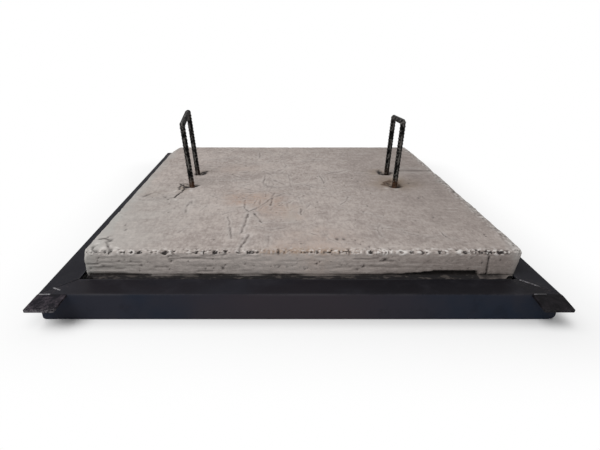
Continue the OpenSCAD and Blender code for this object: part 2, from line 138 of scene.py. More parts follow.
# Voids in the top: place, radius
top_pits = [
    [57, -260, 3.2], [67, -260, 2.6], [84, -264, 1.6], [88, -276, 1.4], [99, -284, 1.6],
    [94, -268, 1.2], [303, -50, 4.0], [-268, -262, 4.6], [-276, -252, 2.4], [-258, -226, 2.0],
    [-284, -284, 3.0], [190, -190, 1.6], [120, -226, 1.6], [219, -248, 2.2], [-230, -82, 2.4],
    [-223, -94, 2.2], [232, -2, 2.2], [-259, -292, 4.0], [-278, -297, 4.0], [-266, -297, 3.0]]
top_pits += [[rng.uniform(*span) for span in ((-290, 300), (-292, 60), (1.0, 1.8))]
             for k in range(70)]
for k in range(48):
    begin = rng.uniform(5, 560)
    if begin < 400:
        face_streaks.append([begin, begin + rng.uniform(8, 36), rng.uniform(45, 69),
                             rng.uniform(0.4, 1.1) * (0.5 if 170 < begin < 360 else 1.0)])
    face_pits.append([rng.uniform(5, 590), rng.uniform(46, 68), rng.uniform(0.9, 1.4)])
# Dark stains round the loops' feet: place, reach in X and Y, amount
foot_stains = [
    (190, -10, 5, 12, 0.6), (194, -20, 6, 7, 0.9), (190, 76, 7, 15, 1.2), (198, 61, 13, 9, 1.3),
    (212, 68, 5, 13, 0.9), (204, -26, 9, 8, 1.1), (-192, 57, 10, 8, 1.2), (-184, 68, 6, 14, 1.2),
    (-179, 80, 4, 7, 1.0), (-187, -21, 6, 8, 1.1), (-202, -25, 9, 7, 1.3)]
# Ochre bloom in the top, and rust that has spread from the loops: place, reach, amount
ochre_bloom = [
    (-62, -88, 34, 36, 0.55), (-100, -86, 32, 36, 0.5), (-12, -158, 32, 38, 0.55),
    (-44, -126, 20, 22, 0.35), (16, -292, 60, 20, 0.32), (-112, 100, 60, 40, 0.2),
    (30, -250, 50, 30, 0.25)]
rust_halos = [
    (188, 0, 34, 40, 0.7), (222, 0, 26, 40, 0.55), (192, 76, 26, 26, 0.6), (189, -3, 6, 16, 0.65),
    (203, 10, 7, 12, 0.3), (211, -6, 5, 9, 0.5), (-190, 68, 20, 18, 0.4), (-207, -22, 14, 20, 0.8),
    (-258, -60, 24, 14, 0.25)]
# How far the right side's upper lip swells out, from front to back
swell_at = [-290, -264, -237, -222, -200, -174, -157, -139, -120, -100, -79, -57, -34, -10, 15, 42,
            71, 101, 134, 168, 204]
swell = [2.3, 2.6, 3.4, 2.2, 3.0, 1.9, 3.1, 4.0, 3.3, 1.7, 2.5, 1.9, 2.7, 3.6, 4.2, 3.8, 2.0, 3.3,
         3.8, 3.4, 2.4]
# Where the legs of the two loops come out of the top
leg_feet = [
    (-193.9, -23.0), (-196.8, 61.0), (198.3, -23.0), (202.0, 61.0)]


def ease(value, start, end):
    """0 before start, 1 after end, and 3t^2 - 2t^3 between them."""
    t = np.clip((value - start) / (end - start), 0.0, 1.0)
    return t * t * (3.0 - 2.0 * t)


def hump(*offsets):
    """exp(-r^2), where r^2 is the sum of the squares of the offsets."""
    return np.exp(-sum(offset**2 for offset in offsets))


def grain(x, y, seed):
    """Gradient noise from -1 to 1 in cells of size 1: every lattice point has a slope in a
    random direction, and the four slopes round a point blend by 6t^5 - 15t^4 + 10t^3."""
    angles = np.random.default_rng(seed).uniform(0, 2 * np.pi, (256, 256))
    i, j = np.floor(x).astype(int), np.floor(y).astype(int)
    s, t = x - i, y - j
    u, v = (w**3 * (w * (w * 6 - 15) + 10) for w in (s, t))

    def slope(a, b):
        """The slope of lattice corner (a, b) of the cell, times the way from that corner."""
        angle = angles[(i + a) % 256, (j + b) % 256]
        return np.cos(angle) * (s - a) + np.sin(angle) * (t - b)

    near = slope(0, 0) * (1 - u) + slope(1, 0) * u
    far = slope(0, 1) * (1 - u) + slope(1, 1) * u
    return 1.5 * (near * (1 - v) + far * v)


def beside(x, y, points, width):
    """exp(-(d / width)^2), d being the distance to the nearest segment of a broken line."""
    nearest = np.full(x.shape, 1e9)
    for (ax, ay), (bx, by) in zip(points, points[1:]):
        dx, dy = bx - ax, by - ay
        t = np.clip(((x - ax) * dx + (y - ay) * dy) / (dx * dx + dy * dy), 0.0, 1.0)
        nearest = np.minimum(nearest, (x - ax - t * dx) ** 2 + (y - ay - t * dy) ** 2)
    return np.exp(-nearest / width**2)


def spaced(start, end, step):
    """Positions from start to end, step(position) apart: the running sum of 1 / step is cut
    into equal parts."""
    fine = np.linspace(start, end, 4001)
    count = np.concatenate([[0.0], np.cumsum(np.diff(fine) / step((fine[1:] + fine[:-1]) / 2))])
    return np.interp(np.linspace(0, count[-1], int(round(count[-1])) + 1), count, fine)


def build(name, points, faces, attributes=None, sharp=None):
    """A mesh object at the origin from points in millimetres and lists of corner numbers."""
    mesh = bpy.data.meshes.new(name)
    mesh.from_pydata((np.asarray(points) * 0.001).tolist(), [], faces)
    mesh.update()
    mesh.shade_smooth()
    if sharp:
        mesh.set_sharp_from_angle(angle=np.radians(sharp))
    for label, values in (attributes or {}).items():
        layer = mesh.attributes.new(label, "FLOAT_COLOR", "POINT")
        layer.data.foreach_set("color", np.asarray(values, dtype=np.float32).ravel())
    piece = bpy.data.objects.new(name, mesh)
    bpy.context.scene.collection.objects.link(piece)
    return piece


def sleeve(first, second):
    """Quads between closed rows of corner numbers: row k of first and row k of second."""
    quads = [first, np.roll(first, -1, axis=1), np.roll(second, -1, axis=1), second]
    return np.stack(quads, axis=-1).reshape(-1, 4).tolist()


def blotches(x, y, rows):
    """Sum of soft ellipses, amount x exp(-d^2.6), where d is the distance from the middle of
    each, measured in its reaches in X and Y."""
    return sum(amount * np.exp(-(((x - cx) / rx) ** 2 + ((y - cy) / ry) ** 2) ** 1.3)
               for cx, cy, rx, ry, amount in rows)


def top_relief(x, y):
    """Height of the top over a flat plane, how dark dirt and painted shade make it, and how light
    it is painted: slow swells, float marks, scratches as gaussian valleys with a low lip, round
    pits.
    The scratches, cracks and pits are painted darker inside as shade, the lips lighter as a
    highlight, and the knocked-off flakes lighter as the paler concrete they show."""
    wx = x + 1.8 * grain(x / 17, y / 17, 1) + 0.6 * grain(x / 5, y / 5, 2)
    wy = y + 1.8 * grain(x / 17, y / 17, 3) + 0.6 * grain(x / 5, y / 5, 4)
    torn_x, torn_y = wx + 1.4 * grain(x / 5, y / 5, 51), wy + 2.2 * grain(x / 5, y / 5, 52)
    height = 0.45 * grain(x / 140, y / 110, 5) + 0.20 * grain(x / 34, y / 26, 6)
    height += 0.10 * grain(x / 30, y / 12, 7) + 0.22 * grain(wx / 11, wy / 11, 8)
    height += 0.12 * grain(wx / 4.6, wy / 4.6, 34)
    dark = 0.30 * ease(grain(x / 22, y / 6, 7), 0.34, 0.75)
    dark *= ease(grain(x / 90, y / 60, 35), -0.1, 0.5)
    light = np.zeros(x.shape)
    # Scratches: painted shade inside them, painted highlight on their lips
    for depth, width, points in top_grooves:
        broken = np.clip(0.85 + 0.6 * grain(x / 13, y / 13, 9), 0.1, 1.1)
        line = beside(wx, wy, points, width) * broken
        lip = np.clip(beside(wx, wy, points, 2.4 * width) * broken - line, 0, 1)
        height += -depth * line + 0.4 * depth * lip
        dark = np.maximum(dark, 0.78 * min(depth, 1.2) * line)
        light = np.maximum(light, min(depth, 1.0) * lip)
    # Cracks: painted shade inside them
    for depth, width, points in top_cracks:
        line = beside(torn_x, torn_y, points, width) * (0.85 + 0.7 * grain(x / 5, y / 5, 9))
        height += -depth * line
        dark = np.maximum(dark, 1.1 * min(depth, 1.3) * line)
    # Pits: painted shade inside them
    for px, py, radius in top_pits:
        pit = hump((wx - px) / radius, 0.6 * (wy - py) / radius)
        height -= 0.5 * radius * pit
        dark = np.maximum(dark, 0.85 * pit)
    for px, py, radius in pale_flakes:
        flake = hump((torn_x - px) / radius, 0.7 * (torn_y - py) / radius)
        light = np.maximum(light, 1.5 * flake)
    for px, py, rx, ry, amount in foot_stains:
        away = ((wx - px) / rx) ** 2 + ((wy - py) / ry) ** 2 + 0.9 * grain(x / 5, y / 6, 36)
        stain = amount * np.exp(-np.clip(away, 0, None) ** 1.4)
        height -= 0.9 * stain
        dark = np.maximum(dark, stain)
    for px, py in leg_feet:
        away = np.hypot(wx - px, wy - py)
        height -= 2.3 * (1 - ease(away, 4.8, 10.5 + 2 * grain(x / 8, y / 8, 10)))
        dark = np.maximum(dark, 1.0 - ease(away, 5.6, 9.5))
    return height, dark, light


def low_darkening(along, z, seed):
    """Darker low on a side: the darkening falls off as exp(-height / 5 mm) and breaks up in slow
    noise.
    """
    broken = ease(grain(along / 30, z / 9, seed), -0.2, 0.5)
    return np.exp(-np.clip(z - flange_top, 0, None) / 5.0) * broken


def front_relief(x, z):
    """The same for the front face, over X and height: form marks drawn out along X, streaks,
    pits, the crack, the hollow under the edge and the groove over the mortar. The streaks, pits
    and crack are painted darker inside as shade, the hollow and the groove near black as shade."""
    wx, wz = x + 1.5 * grain(x / 14, z / 9, 11), z + 0.7 * grain(x / 11, z / 6, 12)
    along = x - slab_left
    height = 0.20 * grain(x / 90, z / 30, 13) + 0.22 * grain(x / 30, z / 2.6, 14)
    height += 0.14 * grain(x / 8, z / 3.2, 15)
    dark = 0.32 * ease(grain(x / 34, z / 2.4, 14) + 0.3 * grain(x / 9, z / 4, 16), 0.15, 0.9)
    dark += 0.18 * ease(grain(x / 60, z / 9, 37) + 0.4 * grain(x / 12, z / 2.6, 38), 0.1, 0.8)
    # Streaks, pits and the crack are painted darker inside, as shade
    for start, end, level, depth in face_streaks:
        points = [(slab_left + start, level), (slab_left + end, level + 0.4)]
        line = beside(wx, 2.2 * wz - 1.2 * level, points, 2.2)
        height -= depth * line
        dark = np.maximum(dark, 0.7 * min(depth, 1.0) * line)
    for start, level, radius in face_pits:
        pit = hump((wx - slab_left - start) / radius, (wz - level) / radius)
        height -= 0.9 * radius * pit
        dark = np.maximum(dark, 0.95 * pit)
    crack = beside(x + 0.6 * grain(x / 3, z / 4, 17), z,
                   [(slab_left + 552.5, 76), (slab_left + 554.5, 60), (slab_left + 556, 36)], 1.2)
    height -= 3.0 * crack
    dark = np.maximum(dark, 1.05 * crack)
    # The hollow under the edge and the groove over the mortar are painted near black, as shade
    reach = ease(along, 424, 474) * (1 - ease(along, 539, 544))
    roof = flange_top + 0.6 + (4.9 + 1.7 * ease(along, 462, 490)) * reach
    roof += 0.5 * grain(x / 12, z / 50, 18)
    hollow = ease(reach, 0.05, 0.2) * (1 - ease(z, roof - 0.7, roof + 0.5))
    height -= 5.5 * hollow
    streaky = 0.8 + 0.5 * grain(x / 9, z / 1.6, 60)
    dark = np.maximum(dark, (streaky + 0.5 * ease(along, 450, 480)) * hollow)
    worn = 0.55 + 0.45 * ease(grain(x / 45, z / 200, 19) + 0.6 * (along < 90), -0.3, 0.3)
    thick = 1.2 + 2.0 * ease(
        grain(x / 24, z / 200, 39) + 0.9 * (1 - ease(along, 40, 110)), 0.0, 0.6)
    groove = worn * hump((z - flange_top - 0.6) / thick)
    height -= 2.4 * groove
    dark = np.maximum(dark, 1.15 * groove)
    return height, np.maximum(dark, 0.5 * low_darkening(x, z, 40))


def slab_net():
    """Points and faces of the slab before it wears, its dirt and painted shade, the lips of its
    scratches painted light as a highlight, its pale flakes, and the near black painted as shade
    below the flange's level and on its underside. The top is a grid of columns and rows. Its
    border is carried out and down: over a quarter round, down the side, out and back along the
    mortar fin at the front, and in below to one pole in the middle of the underside."""
    columns = spaced(slab_left + edge_round, slab_right - edge_round,
                     lambda x: 0.9 + 0.9 * ease(np.minimum(x - slab_left, slab_right - x), 2, 14))
    rows = spaced(slab_front + edge_round, slab_back - edge_round,
                  lambda y: 1.0 + 2.1 * ease(y - slab_front, 14, 50) + 1.6 * ease(y, -110, -60)
                  + 2.3 * ease(y, 90, 130) - 1.9 * hump((y + 24) / 20) - 2.1 * hump((y - 66) / 20)
                  - 4.6 * ease(y, slab_back - 30, slab_back - 5))
    x, y = (grid.ravel() for grid in np.meshgrid(columns, rows, indexing="ij"))
    nx, ny = len(columns), len(rows)
    number = np.arange(nx * ny).reshape(nx, ny)
    border = np.concatenate([number[:, 0], number[-1, 1:], number[-2::-1, -1], number[0, -2:0:-1]])
    side = np.repeat([0, 1, 2, 3], [nx, ny - 1, nx - 1, ny - 2])
    bx, by = x[border], y[border]
    west, east, south, north = bx - bx.min(), bx.max() - bx, by - by.min(), by.max() - by
    to_next = np.choose(side, [east, north, west, south])
    to_last = np.choose(side, [west, south, east, north])
    heading = np.radians(90.0 * side - 90 + 45 * np.clip(1 - to_next / 2.5, 0, 1)
                         - 45 * np.clip(1 - to_last / 2.5, 0, 1))
    ox, oy = np.cos(heading), np.sin(heading)

    # The way down from the top's border: outward step, level and share of the fin's reach
    arc = np.radians(np.linspace(0, 90, 5)[1:])
    face = spaced(edge_round, slab_top - flange_top - 0.4, lambda d: face_step + 0 * d)[1:]
    fin = np.array([[0.3, 0.0], [0.1, 0.25], [-0.05, 0.6], [-0.2, 0.9], [-0.5, 1.0],
                    [-2.0, 1.0], [-5.0, 0.5], [-8.0, 0.0]])
    lower = np.array([18.0, 6.0, 1.0])
    out = np.concatenate([edge_round * np.sin(arc), np.full(len(face) + len(fin) + 3, edge_round),
                          [edge_round - 0.3, edge_round - 1.0]])
    level = np.concatenate([slab_top - edge_round * (1 - np.cos(arc)), slab_top - face,
                            flange_top + fin[:, 0], lower, [0.3, 0.0]])
    share = np.concatenate([np.zeros(len(arc) + len(face)), fin[:, 1], np.zeros(5)])
    rise = np.concatenate([np.cos(arc), np.zeros(len(out) - len(arc) - 2), [-0.7, -1.0]])

    px, py = bx + np.outer(out, ox), by + np.outer(out, oy)
    pz = np.repeat(level[:, None], len(border), axis=1)
    front = np.clip(-oy, 0, 1) ** 8
    along = px - slab_left
    ragged = fin_reach + 1.2 * grain(px / 13, pz * 0, 20) + 1.0 * grain(px / 4.1, pz * 0, 21)
    ends = ease(along, 5, 14) * (1 - ease(along, 580, 592))
    py = py - share[:, None] * front * ends * ragged

    high, dirt_and_shade, lip_highlights_and_flakes = top_relief(x, y)
    points = [np.stack([x, y, slab_top + high - top_sink], axis=1)]
    sideways, upward = (1 - rise**2)[:, None], np.where(rise > 0, rise**2, 0.0)[:, None]
    top_h, top_dirt_and_shade, _ = top_relief(px, py)
    face_h, face_dirt_and_shade = front_relief(px, pz)
    flank = np.where(side % 2 == 1, py, px)
    rough_h = 0.25 * grain(flank / 40, pz / 4, 22) + 0.3 * grain(flank / 7, pz / 5, 23)
    voids = ease(grain(flank / 7, pz / 6, 53) + 0.5 * grain(flank / 3, pz / 3, 54), 0.62, 0.85)
    rough_h -= 1.4 * voids
    bands = grain(flank / 34, pz / 2.4, 55) + 0.3 * grain(flank / 9, pz / 4, 56)
    # Voids in the sides are painted darker inside, as shade
    side_dirt_and_shade = 0.7 * voids + 0.5 * low_darkening(flank, pz, 57) + 0.3 * ease(bands, 0.15, 0.9)
    move = (face_h * front + rough_h * (1 - front)) * (share[:, None] == 0) * sideways
    move *= ease(pz, flange_top - 9, flange_top - 2)
    px, py = px + ox * move, py + oy * move
    pz = pz + (top_h - top_sink) * upward
    marks_dark = (face_dirt_and_shade * front + side_dirt_and_shade * (1 - front)) * sideways + top_dirt_and_shade * upward
    # Painted shade: concrete below the flange's level, in the gap before the frame, is coloured
    # near black, and the mortar fin near black for shade and dirt; right of the crack the front
    # keeps its colour lower down
    below = np.where(front > 0.3, pz < flange_top + 0.2, pz < flange_top + 2.5) * 1.0
    below *= 1 - 0.85 * ease(along, 536, 548) * (pz > flange_top - 0.45) * (front > 0.3)

    # Below, the border shrinks in two steps to a pole
    middle = np.array([(bx.min() + bx.max()) / 2, (by.min() + by.max()) / 2])
    last = np.stack([px[-1], py[-1]], axis=1)
    inner = [np.column_stack([middle + k * (last - middle), np.zeros(len(border))])
             for k in (0.9, 0.45)]
    points += [np.stack([px[k], py[k], pz[k]], axis=1) for k in range(len(out))] + inner
    points = np.concatenate(points + [[[*middle, 0.0]]])
    first = nx * ny + len(border) * np.arange(len(out) + 2)
    rings = np.array([border] + [start + np.arange(len(border)) for start in first])
    faces = np.stack([number[:-1, :-1], number[1:, :-1], number[1:, 1:], number[:-1, 1:]],
                     axis=-1).reshape(-1, 4).tolist()
    faces += sleeve(rings[1:], rings[:-1])
    pole = np.full(len(border), len(points) - 1)
    faces += np.stack([rings[-1], pole, np.roll(rings[-1], -1)], axis=1).tolist()
    tail = 2 * len(border) + 1
    dark = np.concatenate([dirt_and_shade, marks_dark.ravel(), np.zeros(tail)])
    light = np.concatenate([0.8 * lip_highlights_and_flakes, np.zeros(below.size + tail)])
    shade_below = np.concatenate([np.zeros(nx * ny), below.ravel(), np.ones(tail)])
    return points, faces, dark, light, shade_below


def crumble_front(points):
    """Wears the front top edge by chips, which are balls of missing concrete, and by crumbs,
    which go deepest at the edge. Gives the points it met, their painted shade in the chips and
    where the crumbs go deep, their painted light where the crumbs stand, and their brown."""
    near_front = (points[:, 1] < slab_front + 18) & (points[:, 2] > slab_top - 12)
    cx, cy, cz = points[near_front].T
    loss, hole_shade = np.zeros(cx.shape), np.zeros(cx.shape)
    run, fall, over = cx - slab_left, cy - cz, cy - 1.6 * cz
    bent = run + 1.5 * grain(cx / 3.4, fall / 3.4, 42) + 0.9 * grain(cx / 1.7, fall / 2, 48)
    for start, radius, depth in chips:
        reach = 0.95 * radius
        ball = hump(0.8 * (bent - start) / reach, 0.62 * (cy - slab_front - 2.0) / reach,
                    (cz - slab_top + 0.5) / reach)
        loss = np.maximum(loss, reach * ball)
        hole_shade = np.maximum(hole_shade, depth * ease(ball, 0.32, 0.6))
    edge = hump(0.42 * (cy - slab_front - 1.5) / worn_reach, 0.85 * (cz - slab_top) / worn_reach)
    coarse = ease(run, 300, 380)
    crumbs_and_painted_light = grain(cx / 4.2, over / 5.5, 25) + 0.7 * grain(cx / 2.4, over / 3.4, 26)
    crumbs_and_painted_light += coarse * grain(cx / 6.5, over / 7.5, 58)
    stretch = 0.85 + 0.6 * grain(cx / 34, cx * 0, 27)
    patchy = np.clip(0.95 + 1.3 * grain(cx / 8, fall / 9, 61), 0.15, 1.6)
    loss += edge * np.clip(0.45 + stretch * 1.9 * crumbs_and_painted_light, -0.2, 3.4)
    points[near_front] += np.outer(loss, [0.0, 0.62, -0.78])
    hole_shade *= np.clip(0.85 + 0.9 * grain(cx / 1.8, fall / 2.2, 49), 0.2, 1.2)
    # Painted shade where the crumbs go deep and in the chips, painted light where they stand
    shade = 0.95 * edge * patchy * stretch * ease(crumbs_and_painted_light, 0.15, 0.5)
    light = 1.4 * edge * patchy * ease(-crumbs_and_painted_light, 0.05, 0.45) * np.clip(stretch, 0.4, 1.2)
    brown = edge * ease(run, 225, 255) * (1 - ease(run, 350, 390))
    return near_front, np.maximum(1.3 * hole_shade, shade), light * (1 + 0.55 * coarse), brown


def wear_rest(points):
    """Wears the other three top edges, sets the back left corner back over a long slant, and
    breaks the front left one: what lies beyond a slanted plane there moves onto it."""
    for across, sign, at in ((0, 1, slab_left), (0, -1, slab_right), (1, -1, slab_back)):
        run = points[:, 1 - across]
        gap = sign * (points[:, across] - at)
        amount = hump(gap / worn_reach, (points[:, 2] - slab_top) / worn_reach)
        amount *= np.clip(0.2 + 0.9 * grain(run / 9, run * 0, 28 + across)
                          + grain(run / 33, run * 0, 31 + across), 0, 3)
        if across:
            amount *= 0.3
        else:
            amount *= 0.9 if sign > 0 else 0.75 * ease(run, slab_front + 4, slab_front + 30)
        points[:, 2] -= 0.7 * amount
        points[:, across] += sign * 0.7 * amount
    x, y, z = points.T  # views, so that what is added to x moves the points
    back_off = back_in * ease(y, slab_back - 66, slab_back + 20)
    x += back_off * np.clip(1 - (x - slab_left) / back_along, 0, 1)
    inside = (x - slab_left + y - slab_front) / np.sqrt(2)
    depth = np.clip(slab_top - z, 0, corner_down)
    beyond = corner_in * (1 - depth / corner_down) - inside + 0.9 * grain(z / 3, x / 3, 43)
    beyond = np.clip(beyond, 0, corner_in) * (depth < corner_down)
    slant = corner_down / (corner_in**2 + corner_down**2)
    inward = 0.707 * corner_down  # along X and along Y, at 45 degrees
    points += np.outer(beyond * slant, [inward, inward, -corner_in])


def slab_shape():
    """The slab worn and leaned, with the two sets of four numbers that its colours take:
    dirt and painted shade, ochre, rust, grey, and crumbs and painted light, darkening towards the
    right, painted shade below the flange's level, brown."""
    points, faces, dark, light, shade_below = slab_net()
    near_front, edge_shade, edge_light, edge_brown = crumble_front(points)
    dark[near_front] = np.maximum(dark[near_front], edge_shade)
    dark = np.clip(dark, 0, dirt_and_shade_scale) / dirt_and_shade_scale
    light[near_front] += edge_light
    brown = np.zeros(len(points))
    brown[near_front] = edge_brown
    wear_rest(points)
    x, y, z = points.T  # views again
    # Painted light: the middle of the front face is coloured lighter, as a pool of lamp light
    face_light_pool = hump((x + 5) / 80) + 0.6 * hump((x + 140) / 80)
    face_light_pool *= (y < slab_front + 2) * (z < slab_top - 3)
    light = np.maximum(light, 0.45 * face_light_pool)
    wide_x, wide_y = (c + 16 * grain(x / 40, y / 40, seed) + 5 * grain(x / 9, y / 9, seed + 2)
                      for c, seed in ((x, 44), (y, 45)))
    ochre = blotches(wide_x, wide_y, ochre_bloom)
    rust = blotches(wide_x, wide_y, rust_halos) * (z > slab_top - 12)
    rim = np.minimum(x - slab_left, 1.6 * (slab_right - x))
    grey = (1 - ease(rim + 8 * grain(x / 20, y / 30, 33), 2, 20)) * 0.75
    grey += 0.6 * (1 - ease(wide_x, -290, -110)) * (1 - ease(wide_y, -160, 60))
    grey += 0.5 * hump((wide_x + 8) / 20, (wide_y + 170) / 40)
    bevel = hump((x - 300) / 9, (y + 290) / 22) * (z > slab_top - 12)
    light = np.maximum(light, 0.4 * bevel)
    # The right rim is rough: its crumbs of concrete are painted light as highlights, and the gaps
    # between them darker as shade
    rim_top = hump((x - slab_right + 5) / 8) * (z > slab_top - 6)
    rough = grain(x / 3.6, y / 7.5, 59)
    light = np.maximum(light, rim_top * ease(rough, 0.05, 0.45))
    dark = np.maximum(dark, 0.5 * rim_top * ease(-rough, 0.1, 0.5))
    grey += bevel + 0.9 * hump((wide_x - 300) / 10) * (
        hump((y + 136) / 18) + hump((y + 84) / 12) + 0.7 * hump((y - 10) / 22))
    # Darker towards the right, most on the front face
    darker_right = ease(x, 40, 290) * (0.55 + 0.45 * ease(wide_y, -280, -120))
    darker_right = np.maximum(darker_right, ease(x, 60, 200) * (z < slab_top - 3))
    marks = np.stack([dark, np.clip(ochre, 0, 1), rust, np.clip(grey, 0, 1)], axis=1)
    tones = np.stack([light, darker_right, shade_below, brown], axis=1)
    # The right side leans out towards the top
    sway = np.clip((x - (slab_right - 60)) / 60, 0, 1)
    x -= sway * (slab_top - np.minimum(z, slab_top)) * right_lean
    # and its upper lip swells out unevenly, as the form gave way there
    lip = ease(z, slab_top - 30, slab_top - 5) * ease(sway, 0.2, 1.0)
    lip *= ease(y, slab_front + 1, slab_front + 16)
    x += lip * (1 - ease(y, slab_back - 60, slab_back - 8)) * np.interp(y, swell_at, swell)
    points[:, 2] = np.clip(z, 0.0, slab_top + 0.4)
    return points, faces, marks, tones


class Finish:
    """A material, or the world, whose look is worked out from numbers over the surface."""

    def __init__(self, name, group=bpy.data.materials, shader="Principled BSDF"):
        self.material = group.new(name)
        self.material.use_nodes = True
        self.tree = self.material.node_tree
        self.shader = self.tree.nodes[shader]

    def node(self, kind, settings=(), sockets=(), out=0):
        """Adds a node of that kind, makes its settings, then fills sockets with values or links."""
        made = self.tree.nodes.new(kind)
        for key, value in dict(settings).items():
            setattr(made, key, value)
        for key, value in dict(sockets).items():
            self.feed(made.inputs[key], value)
        return Value(self, made.outputs[out])

    def feed(self, socket, value):
        """Links a Value to a socket, or sets the socket's own number or colour."""
        if isinstance(value, Value):
            self.tree.links.new(value.socket, socket)
        else:
            socket.default_value = value

    def place(self, stretch=(1, 1, 1)):
        """The point of the surface in metres, stretched along the three axes."""
        at = self.node("ShaderNodeTexCoord", out="Object")
        return self.node("ShaderNodeMapping", {}, {"Vector": at, "Scale": stretch})

    def axis(self, name):
        """One coordinate of the point, in metres."""
        return self.node("ShaderNodeSeparateXYZ", {}, {0: self.place()}, out=name)

    def seen(self):
        """1 where something looks straight at the surface, be it the camera, a gloss or a
        clear body, and 0 where the surface only sends light on."""
        rays = self.node("ShaderNodeLightPath").socket.node.outputs
        camera, glossy, clear = (Value(self, rays[f"Is {kind} Ray"])
                                 for kind in ("Camera", "Glossy", "Transmission"))
        return camera | glossy | clear

    def noise(self, size, stretch=(1, 1, 1), detail=3.0, rough=0.55):
        """Cloudy noise from 0 to 1 with patches of that size in millimetres."""
        return self.node("ShaderNodeTexNoise", {}, {
            "Vector": self.place(stretch), "Scale": 1000.0 / size,
            "Detail": detail, "Roughness": rough})

    def mix(self, share, below, above):
        """The colour below, with that share of the colour above over it."""
        return self.node("ShaderNodeMix", {"data_type": "RGBA"},
                         {0: share, 6: below, 7: above}, out=2)

    def coat(self, share, above):
        """Lays a colour over the finish's colour so far, with that share."""
        self.colour = self.mix(share, self.colour, above)

    def channels(self, name):
        """The four numbers that a mesh keeps under that name."""
        whole = self.node("ShaderNodeAttribute", {"attribute_name": name}, out="Color")
        parts = self.node("ShaderNodeSeparateColor", {}, {0: whole}).socket.node
        fourth = whole.socket.node.outputs["Alpha"]
        return [Value(self, out) for out in parts.outputs] + [Value(self, fourth)]

    def bump(self, height, distance, strength=1.0):
        """Feeds the shader's normal with a relief of that many millimetres."""
        self.feed(self.shader.inputs["Normal"], self.node("ShaderNodeBump", {}, {
            "Height": height, "Distance": distance * 0.001, "Strength": strength}, out="Normal"))

    def math(self, operation, *values):
        """A Math node of that operation over values."""
        return self.node("ShaderNodeMath", {"operation": operation}, dict(enumerate(values)))

    def set(self, **sockets):
        """Sets the shader's sockets, with _ for a space in their names."""
        for name, value in sockets.items():
            self.feed(self.shader.inputs[name.replace("_", " ")], value)


class Value:
    """A number that varies over a surface. Arithmetic on it adds Math nodes to its finish."""

    def __init__(self, finish, socket):
        self.finish, self.socket = finish, socket

    def __add__(self, other):
        return self.finish.math("ADD", self, other)

    def __sub__(self, other):
        return self.finish.math("SUBTRACT", self, other)

    def __rsub__(self, other):
        return self.finish.math("SUBTRACT", other, self)

    def __mul__(self, other):
        return self.finish.math("MULTIPLY", self, other)

    def __or__(self, other):
        return self.finish.math("MAXIMUM", self, other)

    def __abs__(self):
        return self.finish.math("ABSOLUTE", self)

    __radd__, __rmul__, __ror__ = __add__, __mul__, __or__

    def ramp(self, start, end, low=0.0, high=1.0):
        """This number eased from low where it is start to high where it is end."""
        return self.finish.node("ShaderNodeMapRange", {"interpolation_type": "SMOOTHSTEP"}, {
            "Value": self, "From Min": start, "From Max": end, "To Min": low, "To Max": high})


def paint(red, green, blue):
    """A display colour from 0 to 255 as the linear colour that a shader takes."""
    c = np.array([red, green, blue]) / 255.0
    linear = np.where(c <= 0.04045, c / 12.92, ((c + 0.055) / 1.055) ** 2.4)
    return (*(float(v) for v in linear), 1.0)


slab_points, slab_faces, slab_marks, slab_tones = slab_shape()
slab = build("slab", slab_points, slab_faces, {"marks": slab_marks, "tones": slab_tones})

concrete = Finish("weathered_concrete")
dirt_and_shade, ochre, rust, grey = concrete.channels("marks")
crumbs_and_painted_light, darker_right, shade_below, brown = concrete.channels("tones")
dirt_and_shade = dirt_and_shade * dirt_and_shade_scale
cloud = concrete.noise(70, (0.7, 0.9, 1), 5.0, 0.6)
float_marks = concrete.noise(20, (0.75, 0.75, 2.2), 4.0, 0.65)
mottle = concrete.noise(7, (1, 0.5, 1.6), 3.0, 0.6)
dashes = concrete.noise(8.0, (0.3, 0.6, 2.2), 2.0, 0.6)
speck = concrete.noise(3.2, (0.85, 0.42, 1), 2.0, 0.65)
sand = concrete.noise(0.9, (1, 1, 1), 2.0, 0.7)
pores = concrete.noise(4.2, (0.8, 0.7, 1), 1.0).ramp(0.27, 0.19)
tone = (cloud * 0.24 + float_marks * 0.24 + mottle * 0.24 + speck * 0.28).ramp(0.37, 0.63)
concrete.colour = concrete.mix(tone, paint(143, 133, 128), paint(182, 172, 166))
concrete.coat(ochre * (float_marks * 0.6 + speck * 0.4).ramp(0.36, 0.6, 0.25, 1.2),
              paint(168, 143, 128))
concrete.coat(ochre * speck.ramp(0.5, 0.68) * 0.5, paint(122, 100, 88))
concrete.coat(grey * cloud.ramp(0.3, 0.6, 0.5, 0.9), paint(167, 165, 161))
# Darker towards the right
concrete.coat(darker_right * 0.42, paint(122, 112, 107))
concrete.coat(sand.ramp(0.62, 0.75) * 0.3, paint(196, 189, 184))
concrete.coat(dashes.ramp(0.64, 0.76) * 0.5, paint(112, 103, 99))
trowel = concrete.noise(6.0, (0.22, 1.2, 1), 3.0, 0.6)
concrete.coat(trowel.ramp(0.58, 0.74) * 0.4, paint(196, 188, 183))
concrete.coat(trowel.ramp(0.36, 0.24) * 0.4, paint(120, 110, 105))
# Lighter flakes, plus painted light: highlights on lips and crumbs, and a pool of light mid front
concrete.coat(crumbs_and_painted_light * 0.6, paint(208, 203, 199))
concrete.coat(brown * speck.ramp(0.35, 0.6) * 0.6, paint(138, 110, 82))
concrete.coat(pores * 0.5, paint(92, 82, 76))
concrete.coat(rust * speck.ramp(0.3, 0.6, 0.5, 0.85), paint(130, 114, 97))
concrete.coat(rust.ramp(0.75, 1.4) * speck.ramp(0.3, 0.6, 0.7, 1.0), paint(76, 60, 50))
